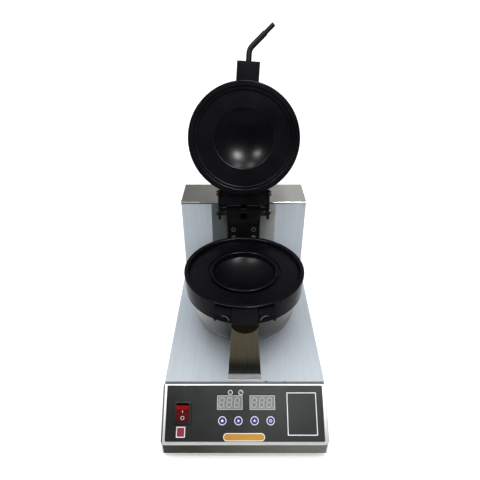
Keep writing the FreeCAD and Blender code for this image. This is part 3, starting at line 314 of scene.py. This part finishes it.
def leg_steel():
    """The folded leg, painted as a dark warm mirror with a pale foot: its bands are painted reflections and
    painted shade, and the foot lip a painted highlight.
    """
    finish = Finish("leg_steel")
    lines = finish.noise(50.0, 3.0, (10, 10, 0.3))
    height = finish.along("Z") + 0.002 * lines
    # Painted reflections and shade: warm tones, a dark band and a blue-grey strip low down, and a pale, less
    # metallic foot lip for the light on it.
    warm = finish.mix(finish.range(lines, *BROAD), tone(0.047, 0.042, 0.027), tone(0.06, 0.053, 0.035))
    painted_dark_band = finish.mix(finish.range(height, *LEG_BAND), tone(0.013, 0.012, 0.0095), warm)
    shaded = finish.mix(finish.range(height, *LEG_SHADE), tone(0.019, 0.021, 0.0205), painted_dark_band)
    shank = finish.range(height, *LEG_FOOT)
    finish.set(
        base_color=finish.mix(shank, tone(0.29, 0.295, 0.3), shaded),
        metallic=0.3 + 0.7 * shank,
        roughness=finish.range(lines, *BROAD, 0.26, 0.4),
        normal=finish.bump(lines, strength=0.12, distance=BRUSH_DEPTH),
    )
    return finish


# Spans of X on both sides of the leg, over which painted light and painted shade change the bowl's tone
BOWL_LEFT = (-0.08, -0.022)
BOWL_RIGHT = (0.02, 0.08)


def bowl_steel():
    """The spun bowl, with painted light making it pale at its sides and painted shade making it dark next to
    the leg.
    """
    finish = Finish("bowl_steel", metallic=1.0)
    lines = brush_lines(finish, "Z")
    # Painted light and shade: pale at the bowl's sides, dark next to the leg.
    across = finish.along("X") + 0.006 * lines
    left = finish.mix(finish.range(across, *BOWL_LEFT), tone(0.3, 0.305, 0.305), tone(0.055, 0.056, 0.054))
    finish.set(
        base_color=finish.mix(finish.range(across, *BOWL_RIGHT), left, tone(0.15, 0.15, 0.147)),
        roughness=finish.range(lines, *BROAD, 0.3, 0.42),
        normal=finish.bump(lines, strength=0.08, distance=BRUSH_DEPTH),
    )
    return finish


# Spans of Y at the lug's end, which carries painted shade and a painted reflection, and where the lug meets
# the rim
LUG_END = (-0.1549, -0.1546)
LUG_FRONT = (-0.125, -0.105)

# The coating that both moulds share
NONSTICK_DARK = tone(0.002, 0.002, 0.003)
NONSTICK_LIGHT = tone(0.004, 0.004, 0.006)
NONSTICK_GRAIN = 1400
NONSTICK_DEPTH = 0.00008
NONSTICK_IOR = 1.1


def mould_black():
    """The lower mould's non-stick coating, matt towards its lug, with painted shade and a painted warm
    reflection on the lug's end.
    """
    finish = Finish("mould_black", ior=NONSTICK_IOR)
    cloud = finish.noise(14.0, 4.0)
    fine = finish.noise(NONSTICK_GRAIN, 2.0)
    gloss = cloud * 0.6 + fine * 0.4
    depth = finish.along("Y")
    # Painted shade and a painted warm reflection on the lug's end: a dark warm metallic tone.
    end = 1 - finish.range(depth, *LUG_END)
    matt = finish.range(depth, *LUG_FRONT, 0.12, 0.0)
    black = finish.mix(finish.range(cloud, *MIDDLE), NONSTICK_DARK, NONSTICK_LIGHT)
    finish.set(
        base_color=finish.mix(end, black, tone(0.003, 0.003, 0.001)),
        metallic=end,
        roughness=finish.range(gloss, *MIDDLE, 0.22, 0.34) + matt,
        normal=finish.bump(fine, strength=0.25, distance=NONSTICK_DEPTH),
    )
    return finish


def wool():
    finish = Finish("wool", roughness=0.95)
    strands = finish.noise(220.0, 6.0, (1, 1, 4), 0.75)
    finish.set(
        base_color=finish.mix(strands, tone(0.62, 0.59, 0.5), tone(0.88, 0.86, 0.79)),
        normal=finish.bump(strands, strength=0.8, distance=0.001),
    )
    return finish


# Steels: dark and light tone, axis of the lines, roughness and the span of X across which a painted
# reflection makes the tone paler
# The riser's top, the hinge's backing plate and the tray's front strip carry that painted reflection.
COVER = brushed("cover_steel", tone(0.08, 0.08, 0.071), tone(0.25, 0.252, 0.235), "X", 0.36, (-0.09, 0.12))
BACKING = brushed("backing_steel", tone(0.18, 0.21, 0.21), tone(0.52, 0.52, 0.51), "Z", 0.34, (-0.045, 0.06))
TRAY = brushed("tray_steel", tone(0.018, 0.0135, 0.0098), tone(0.1, 0.099, 0.083), "X", 0.38, (-0.06, 0.09))
BRIGHT = brushed("bright_zinc", tone(0.3, 0.305, 0.31), tone(0.46, 0.46, 0.455), "Z", 0.38)
DULL = brushed("dull_steel", grey(0.1), grey(0.2), "X", 0.3)
DARK = brushed("dark_steel", tone(0.016, 0.016, 0.017), grey(0.05), "X", 0.55)
OXIDE = brushed("oxidised_steel", tone(0.12, 0.11, 0.1), tone(0.24, 0.22, 0.2), "X", 0.45)

# Coatings: dark and light tone, roughness, scale and depth of the grain, and index of refraction
NONSTICK = coating(
    "nonstick", NONSTICK_DARK, NONSTICK_LIGHT, 0.27, NONSTICK_GRAIN, NONSTICK_DEPTH, NONSTICK_IOR
)
BLACKED = coating("black_enamel", grey(0.003), tone(0.006, 0.006, 0.007), 0.5, 900, 0.00002, 1.1)
PLASTIC = coating("black_plastic", grey(0.006), grey(0.012), 0.42, 1500, 0.0001, 1.2)
RUBBER = coating("foot_rubber", grey(0.012), grey(0.022), 0.75, 800, 0.0002)
INDIGO = coating("button_indigo", tone(0.022, 0.02, 0.17), tone(0.036, 0.032, 0.24), 0.32, 1800, 0.00004)
WINDOW = coating("display_window", tone(0.17, 0.175, 0.175), tone(0.21, 0.215, 0.215), 0.25, 1800, 0.00003)
SEGMENT = coating("segment_grey", tone(0.34, 0.35, 0.36), tone(0.4, 0.41, 0.42), 0.35, 1800, 0.00003)
BEZEL = coating("display_bezel", tone(0.46, 0.47, 0.48), tone(0.54, 0.55, 0.56), 0.35, 1800, 0.00003)
LENS = coating("lamp_lens", tone(0.05, 0.052, 0.055), tone(0.09, 0.093, 0.096), 0.12, 600, 0.00005)
PRINT = coating("white_print", tone(0.76, 0.78, 0.8), tone(0.85, 0.86, 0.87), 0.45, 2400, 0.00003)
CRIMSON = coating("crimson_print", tone(0.25, 0.009, 0.034), tone(0.3, 0.015, 0.046), 0.4, 2400, 0.00003)
AMBER = coating("amber_print", tone(0.42, 0.2, 0.009), tone(0.49, 0.25, 0.015), 0.4, 2400, 0.00003)
# Near-black plates of painted shade that stand for the screws' drive recesses
RECESS_SHADE = coating("drive_recess_shade", grey(0.006), grey(0.011), 0.6, 1500, 0.0001, 1.1)
BOARD = coating("board_green", tone(0.02, 0.1, 0.045), tone(0.035, 0.16, 0.07), 0.4, 700, 0.0001)
CREAM = coating("terminal_cream", tone(0.6, 0.57, 0.47), tone(0.7, 0.67, 0.58), 0.5, 900, 0.0001)

FINISHES = [
    (filmed_sheet(), "deck_sheet left_side_panel right_side_panel"),
    (COVER, "rear_cover"),
    (TRAY, "base_tray"),
    (bowl_steel(), "heater_bowl bowl_base_ring"),
    (BACKING, "hinge_backing_plate"),
    (leg_steel(), "front_leg"),
    (panel_steel(), "control_panel"),
    (charcoal_film(), "panel_overlay"),
    (mould_black(), "lower_mould"),
    (NONSTICK, "upper_mould lid_cover"),
    (BLACKED, "hinge_bracket left_hinge_arm right_hinge_arm handle_rod"),
    (BRIGHT, "hinge_bracket_screws rear_cover_screws foot_screws leg_screws lid_cover_screws"),
    (BRIGHT, "board_standoffs gland_locknut"),
    (DARK, "hinge_pin hinge_spacers hinge_retaining_ring hinge_arm_screws"),
    (OXIDE, "lower_element lid_element lower_probe lid_probe mould_pillars"),
    (PLASTIC, "rocker_housing heater_relays tact_switches cable_gland"),
    (rocker_red(), "rocker_button"),
    (INDIGO, "button_mode button_next button_raise button_cancel"),
    (BEZEL, "display_left display_right"),
    (LENS, "indicator_lamps"),
    (RUBBER, "rubber_feet"),
    (BOARD, "control_board"),
    (CREAM, "terminal_block"),
    (wool(), "lower_insulation lid_insulation"),
]

for finish, names in FINISHES:
    for name in names.split():
        for slot in nodes[name].material_slots:
            slot.material = finish.material


# Shaping steps for new pieces, with sizes in millimetres

def alone(piece):
    bpy.ops.object.select_all(action="DESELECT")
    piece.select_set(True)
    bpy.context.view_layer.objects.active = piece


def edit(piece):
    alone(piece)
    bpy.ops.object.mode_set(mode="EDIT")
    bpy.ops.mesh.select_all(action="SELECT")


def leave():
    bpy.ops.mesh.select_all(action="SELECT")
    bpy.ops.mesh.normals_make_consistent(inside=False)
    bpy.ops.object.mode_set(mode="OBJECT")


def raise_up(thickness, border):
    """Gives a flat outline its thickness. Where a border is given, only the border stays."""
    if border:
        bpy.ops.mesh.inset(thickness=border * MM)
        bpy.ops.mesh.delete(type="FACE")
    bpy.ops.mesh.select_all(action="SELECT")
    bpy.ops.mesh.extrude_region_move(TRANSFORM_OT_translate={"value": (0, 0, thickness * MM)})


def plate(width, height, corner, thickness, border=0.0, segments=6):
    """A flat plate with rounded corners, or a frame of that outline where a border is given."""
    bpy.ops.object.select_all(action="DESELECT")
    bpy.ops.mesh.primitive_plane_add(size=1)
    piece = bpy.context.object
    piece.scale = (width * MM, height * MM, 1)
    bpy.ops.object.transform_apply(location=False, rotation=False, scale=True)
    edit(piece)
    bpy.ops.mesh.bevel(offset=corner * MM, segments=segments, affect="VERTICES")
    raise_up(thickness, border)
    leave()
    return piece


def disc(radius, thickness, border=0.0, corners=48):
    """A round plate, or a ring where a border is given. Few corners give a triangle or a hexagon."""
    bpy.ops.object.select_all(action="DESELECT")
    bpy.ops.mesh.primitive_circle_add(vertices=corners, radius=radius * MM, fill_type="NGON")
    piece = bpy.context.object
    edit(piece)
    raise_up(thickness, border)
    leave()
    return piece


def settle(piece, matrix):
    """Puts a piece in place and leaves the place in its mesh."""
    alone(piece)
    piece.matrix_world = matrix
    bpy.ops.object.transform_apply(location=True, rotation=True, scale=True)


def copied(piece, matrix):
    """A copy of a piece at another place, with a mesh of its own."""
    twin = piece.copy()
    twin.data = piece.data.copy()
    bpy.context.collection.objects.link(twin)
    settle(twin, matrix)
    return twin


def join(pieces):
    bpy.ops.object.select_all(action="DESELECT")
    for piece in pieces:
        piece.select_set(True)
    bpy.context.view_layer.objects.active = pieces[0]
    bpy.ops.object.join()
    return pieces[0]


def repeated(pattern, places):
    """One piece made of copies of a pattern, which itself is removed."""
    copies = [copied(pattern, place) for place in places]
    bpy.data.objects.remove(pattern)
    return join(copies)


def finished(piece, name, finish, body):
    piece.name = name
    piece.data.name = name
    piece.data.materials.clear()
    piece.data.materials.append(finish.material)
    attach(piece, body)


# Places on the object's surfaces

# Height above a plane, in metres, from which the surface under it is sought
LOOK_FROM = 0.3

# How far print and marks sink into the surface that carries them
SINK = -0.02


def grid(columns, rows):
    return [(x, y) for x in columns for y in rows]


def surface(node):
    mesh = nodes[node].data
    corners = [vertex.co for vertex in mesh.vertices]
    faces = [polygon.vertices for polygon in mesh.polygons]
    return BVHTree.FromPolygons(corners, faces)


def spot(skin, plane, x, y):
    """The place on a surface that lies under point x, y of a plane, with the surface's own tilt."""
    above = plane @ Vector((x * MM, y * MM, LOOK_FROM))
    point, normal, _, _ = skin.ray_cast(above, -plane.col[2].xyz)
    up = normal.cross(plane.col[0].xyz).normalized()
    across = up.cross(normal)
    tilt = Matrix((across, up, normal)).transposed().to_4x4()
    return Matrix.Translation(point) @ tilt


# Print on the charcoal film

OVERLAY = surface("panel_overlay")
PRINT_THICKNESS = 0.12
FIELD_THICKNESS = 0.22

BUTTONS = {"button_mode": -32.8, "button_next": -9.3, "button_raise": 14.2, "button_cancel": 37.7}
BUTTON_Y = -10.4
BUTTON_RINGS = {name + "_ring": x for name, x in BUTTONS.items()}
BUTTON_RING_RADIUS = 6.0
BUTTON_RING_WIDTH = 1.0

LAMP_RINGS = {"lamp_ring_left": -21.4, "lamp_ring_right": -5.9}
LAMP_Y = 28.3
LAMP_RING_RADIUS = 3.5
LAMP_RING_WIDTH = 0.8

# Middles of the framed note, the pill and the tag, then width, height and corner of their plates
NOTE_MIDDLE = (83.9, -0.9)
PILL_MIDDLE = (-1.1, -32.2)
TAG_MIDDLE = (-92.9, -25.6)
NOTE_FRAME = (43.6, 58.4, 0.6)
NOTE_BORDER = 1.2
PILL_EDGE = (60, 10.6, 5.0)
PILL_FIELD = (58, 8.6, 4.1)
PILL_SEGMENTS = 12
TAG_EDGE = (12.8, 14.4, 0.8)
TAG_FIELD = (10.6, 12.0, 0.5)


def panel_rings(rings, y, radius, width):
    """Rings round a row of holes, each held level with the film beside its hole."""
    pattern = disc(radius, PRINT_THICKNESS, width, corners=64)
    reach = radius - width / 2
    for name, x in rings.items():
        beside = spot(OVERLAY, PANEL, x + reach, y)
        ring = copied(pattern, shifted(beside, x=-reach, z=SINK))
        finished(ring, name, PRINT, "base")
    bpy.data.objects.remove(pattern)


def panel_plate(name, middle, piece, finish=PRINT):
    settle(piece, shifted(spot(OVERLAY, PANEL, *middle), z=SINK))
    finished(piece, name, finish, "base")


def panel_print():
    panel_rings(BUTTON_RINGS, BUTTON_Y, BUTTON_RING_RADIUS, BUTTON_RING_WIDTH)
    panel_rings(LAMP_RINGS, LAMP_Y, LAMP_RING_RADIUS, LAMP_RING_WIDTH)
    panel_plate("note_frame", NOTE_MIDDLE, plate(*NOTE_FRAME, PRINT_THICKNESS, NOTE_BORDER))
    pill_edge = plate(*PILL_EDGE, PRINT_THICKNESS, segments=PILL_SEGMENTS)
    panel_plate("pill_edge", PILL_MIDDLE, pill_edge)
    pill_field = plate(*PILL_FIELD, FIELD_THICKNESS, segments=PILL_SEGMENTS)
    panel_plate("pill_field", PILL_MIDDLE, pill_field, AMBER)
    panel_plate("tag_edge", TAG_MIDDLE, plate(*TAG_EDGE, PRINT_THICKNESS))
    panel_plate("tag_field", TAG_MIDDLE, plate(*TAG_FIELD, FIELD_THICKNESS), CRIMSON)


# Signs on the buttons

SIGN_THICKNESS = 0.18
SIGN_SINK = -0.05
DOT_RADIUS = 1.7
SIGN_RADIUS = 2.2
SIGN_LINE = 0.5
SIGN_BAR = (3.6, SIGN_LINE, 0.1)


def barred_ring():
    ring = disc(SIGN_RADIUS, SIGN_THICKNESS, SIGN_LINE, corners=32)
    bar = plate(*SIGN_BAR, SIGN_THICKNESS)
    settle(bar, turned(45))
    return join([ring, bar])


def button_signs():
    arrow = disc(SIGN_RADIUS, SIGN_THICKNESS, corners=3)
    signs = {
        "button_mode": disc(DOT_RADIUS, SIGN_THICKNESS, corners=24),
        "button_next": copied(arrow, turned(-90)),
        "button_raise": copied(arrow, ORIGIN),
        "button_cancel": barred_ring(),
    }
    bpy.data.objects.remove(arrow)
    for name, sign in signs.items():
        settle(sign, shifted(spot(surface(name), PANEL, BUTTONS[name], BUTTON_Y), z=SIGN_SINK))
        finished(sign, name + "_mark", PRINT, name)


# Signs on the rocker

ROCKER_X = -91.0
ROCKER_ON_Y = 2.0
ROCKER_OFF_Y = -6.6
ROCKER_SIGN_THICKNESS = 0.16
ROCKER_SIGN_SINK = -0.04
ON_BAR = (0.8, 3.2, 0.2)
OFF_RADIUS = 2.6
OFF_LINE = 0.55


def rocker_sign(name, y, sign):
    settle(sign, shifted(spot(surface("rocker_button"), PANEL, ROCKER_X, y), z=ROCKER_SIGN_SINK))
    finished(sign, name, PRINT, "power_rocker")


def rocker_signs():
    on_bar = plate(*ON_BAR, ROCKER_SIGN_THICKNESS)
    rocker_sign("rocker_on_mark", ROCKER_ON_Y, on_bar)
    off_ring = disc(OFF_RADIUS, ROCKER_SIGN_THICKNESS, OFF_LINE, corners=40)
    rocker_sign("rocker_off_mark", ROCKER_OFF_Y, off_ring)


# Digit displays

DISPLAYS = {"display_left": -22.0, "display_right": 26.0}
DISPLAY_Y = 14.3
WINDOW_PLATE = (35.4, 17.6, 0.6)
WINDOW_THICKNESS = 0.12

# The digits lie on the window, a little left of its middle
DIGITS_X = -0.8
DIGITS_Z = 0.08
DIGIT_WIDTH = 6.6
DIGIT_HEIGHT = 12.6
DIGIT_PITCH = 11.2
DIGIT_LEAN = math.tan(math.radians(7))

# A segment's ends are pointed, so each corner takes nearly half of its width
SEGMENT_WIDTH = 1.5
SEGMENT_GAP = 0.25
SEGMENT_THICKNESS = 0.1
SEGMENT_CORNER = 0.47 * SEGMENT_WIDTH
POINT_RADIUS = 0.75
POINT_X = DIGIT_WIDTH / 2 + 1.9


def segment_bars(space, turn, places):
    length = space - 2 * SEGMENT_GAP
    bar = plate(length, SEGMENT_WIDTH, SEGMENT_CORNER, SEGMENT_THICKNESS, segments=1)
    return repeated(bar, [shifted(ORIGIN, x, y) @ turned(turn) for x, y in places])


def digit_row():
    """Three unlit digits with a point after each, leaning to the right."""
    side = DIGIT_WIDTH / 2
    top = DIGIT_HEIGHT / 2
    level = segment_bars(DIGIT_WIDTH, 0, grid((0,), (-top, 0, top)))
    upright = segment_bars(top, 90, grid((-side, side), (-top / 2, top / 2)))
    point = disc(POINT_RADIUS, SEGMENT_THICKNESS, corners=16)
    settle(point, shifted(ORIGIN, POINT_X, -top))
    digit = join([level, upright, point])
    row = repeated(digit, [shifted(ORIGIN, x) for x in (-DIGIT_PITCH, 0, DIGIT_PITCH)])
    lean = Matrix.Identity(4)
    lean[0][1] = DIGIT_LEAN
    row.data.transform(lean)
    return row


def displays():
    window_pattern = plate(*WINDOW_PLATE, WINDOW_THICKNESS)
    digit_pattern = digit_row()
    for name, x in DISPLAYS.items():
        middle = spot(surface(name), PANEL, x, DISPLAY_Y)
        window = copied(window_pattern, shifted(middle, z=SINK))
        finished(window, name + "_window", WINDOW, "base")
        digits = copied(digit_pattern, shifted(middle, x=DIGITS_X, z=DIGITS_Z))
        finished(digits, name + "_digits", SEGMENT, "base")
    bpy.data.objects.remove(window_pattern)
    bpy.data.objects.remove(digit_pattern)


# Drive recesses of the screws, drawn as thin near-black plates: painted shade in place of the hollows

RECESS_HEIGHT = 0.1
RECESS_TURN = 20

# Length and width of the crosses' bars, and radius of the hexagons
COVER_CROSS = (4.2, 1.0)
LID_CROSS = (5.2, 1.2)
CROSS_CORNER = 0.15
BRACKET_HEXAGON = 2.6
ARM_HEXAGON = 2.4

# Places of the screws on the planes that their heads face
COVER_SCREWS = [(BACK, x, y) for x, y in grid((-111, 111), (40, 130, 225))]
BRACKET_SCREWS = [(FRONT, x, y) for x, y in grid((-19.5, 19.5), (166, 186))]
LID_SCREWS = [(LID, x, y) for x, y in grid((-30, 30), (-160, -100))]
ARM_SCREWS = [(RIGHT_ARM, 21, -34), (RIGHT_ARM, 10, -34), (LEFT_ARM, -21, -34), (LEFT_ARM, -10, -34)]


def cross(length, width):
    bar = plate(length, width, CROSS_CORNER, RECESS_HEIGHT)
    return repeated(bar, [ORIGIN, turned(90)])


def hexagon(radius):
    return disc(radius, RECESS_HEIGHT, corners=6)


def recesses(name, node, body, recess, screws):
    """Copies of one recess, a near-black plate of painted shade, on the heads of a node's screws, each turned
    further than the last.
    """
    skin = surface(node)
    places = []
    for number, (plane, x, y) in enumerate(screws):
        head = spot(skin, plane, x, y) @ turned(RECESS_TURN * number)
        places.append(shifted(head, z=SINK))
    finished(repeated(recess, places), name, RECESS_SHADE, body)


def screw_recesses():
    recesses("cover_screw_drives", "rear_cover_screws", "base", cross(*COVER_CROSS), COVER_SCREWS)
    recesses("bracket_screw_drives", "hinge_bracket_screws", "base", hexagon(BRACKET_HEXAGON), BRACKET_SCREWS)
    recesses("lid_screw_drives", "lid_cover_screws", "lid", cross(*LID_CROSS), LID_SCREWS)
    recesses("arm_screw_drives", "hinge_arm_screws", "lid", hexagon(ARM_HEXAGON), ARM_SCREWS)


# Painted highlights: thin grey metal strips along the edges of the arches beside the lower mould's lug

ARCH_X = 32.5
ARCH_FOOT = 179.0
ARCH_RADIUS = 9.0
ARCH_EDGE = 0.8
ARCH_HEAD = 10.4
ARCH_PAST_HEAD = 1.5


def half_arch(side):
    """The inner half of a narrow arch, from a little past its head to its foot beside the lug."""
    arch = disc(ARCH_RADIUS + ARCH_EDGE, PRINT_THICKNESS, ARCH_EDGE, corners=64)
    outer_end = (side * ARCH_PAST_HEAD * MM, 0, 0)
    edit(arch)
    bpy.ops.mesh.bisect(plane_co=(0, 0, 0), plane_no=(0, 1, 0), use_fill=True, clear_inner=True)
    bpy.ops.mesh.select_all(action="SELECT")
    bpy.ops.mesh.bisect(plane_co=outer_end, plane_no=(side, 0, 0), use_fill=True, clear_outer=True)
    leave()
    return arch


def arch_edges():
    skin = surface("lower_mould")
    for side, name in ((-1, "arch_edge_highlight_left"), (1, "arch_edge_highlight_right")):
        arch = half_arch(side)
        head = spot(skin, FRONT, side * ARCH_X, ARCH_FOOT + ARCH_HEAD)
        settle(arch, shifted(head, y=-ARCH_HEAD, z=SINK))
        # Painted highlight: a thin grey metal strip along the arch's edge.
        finished(arch, name, DULL, "base")


panel_print()
screw_recesses()
arch_edges()
button_signs()
rocker_signs()
displays()


# Floor, light and camera, in metres

# The floor's span of Y and the room's shares of depth over which they grow paler
FLOOR_SIZE = 60
FLOOR_PALER = (0.5, 3.0)
ROOM_SIDES = (-0.45, 0.2)
ROOM_BACK = (0.7, 0.9)

# The camera looks down by an angle in degrees, through a lens in millimetres
CAMERA_PLACE = (-0.007, -0.575, 0.592)
CAMERA_DOWN = 31.85
CAMERA_LENS = 30.75
CAMERA_SENSOR = 36


def floor():
    """A pale floor with a little light of its own, more of it towards the back."""
    bpy.ops.object.select_all(action="DESELECT")
    bpy.ops.mesh.primitive_plane_add(size=FLOOR_SIZE)
    ground = bpy.context.object
    ground.name = "floor"
    pale = Finish("pale_floor", base_color=grey(0.92), roughness=0.9, emission_strength=1.0)
    away = pale.range(pale.along("Y"), *FLOOR_PALER)
    pale.set(emission_color=pale.mix(away, grey(0.28), grey(0.66)))
    ground.data.materials.append(pale.material)


def room():
    """Pale walls that are dim towards the front and brightest at the back."""
    walls = Finish("room", bpy.data.worlds, "Background")
    way = walls.node("ShaderNodeTexCoord", {}, {}, "Generated")
    depth = walls.node("ShaderNodeSeparateXYZ", {}, {"Vector": way}, "Y")
    sides = walls.mix(walls.range(depth, *ROOM_SIDES), tone(0.37, 0.365, 0.355), grey(1.0))
    walls.set(color=walls.mix(walls.range(depth, *ROOM_BACK), sides, grey(1.2)), strength=0.85)
    bpy.context.scene.world = walls.material
    bpy.context.scene.view_settings.view_transform = "Standard"


def lamp(place, aim, size, power, diffuse=True, glossy=True):
    """A flat lamp that lights dull faces, glossy faces or both."""
    bpy.ops.object.light_add(type="AREA", location=place)
    light = bpy.context.object
    light.data.shape = "RECTANGLE"
    light.data.size, light.data.size_y = size
    light.data.energy = power
    light.rotation_euler = (Vector(aim) - Vector(place)).to_track_quat("-Z", "Y").to_euler()
    light.visible_diffuse = diffuse
    light.visible_glossy = glossy


def lamps():
    """A wide lamp overhead, a soft one in front and small ones for the highlights."""
    lamp(place=(-0.05, 0.0, 2.8), aim=(0, 0, 0), size=(2.2, 2.2), power=40)
    lamp(place=(0.15, -1.9, 1.4), aim=(0, 0, 0.1), size=(2.4, 0.8), power=17, glossy=False)
    lamp(place=(0.37, -0.42, 1.8), aim=(0, 0, 0.3), size=(0.3, 0.36), power=140, diffuse=False)
    lamp(place=(-0.8, -0.42, 1.8), aim=(0, 0, 0.3), size=(0.12, 0.16), power=70, diffuse=False)
    lamp(place=(0.3, 0.3, 1.8), aim=(0, 0, 0.2), size=(0.1, 0.1), power=18, diffuse=False)
    lamp(place=(-0.3, 0.3, 1.8), aim=(0, 0, 0.2), size=(0.1, 0.1), power=18, diffuse=False)


def camera():
    tilt = math.radians(90 - CAMERA_DOWN)
    bpy.ops.object.camera_add(location=CAMERA_PLACE, rotation=(tilt, 0, 0))
    view = bpy.context.object
    view.data.lens = CAMERA_LENS
    view.data.sensor_width = CAMERA_SENSOR
    bpy.context.scene.camera = view


floor()
room()
lamps()
camera()
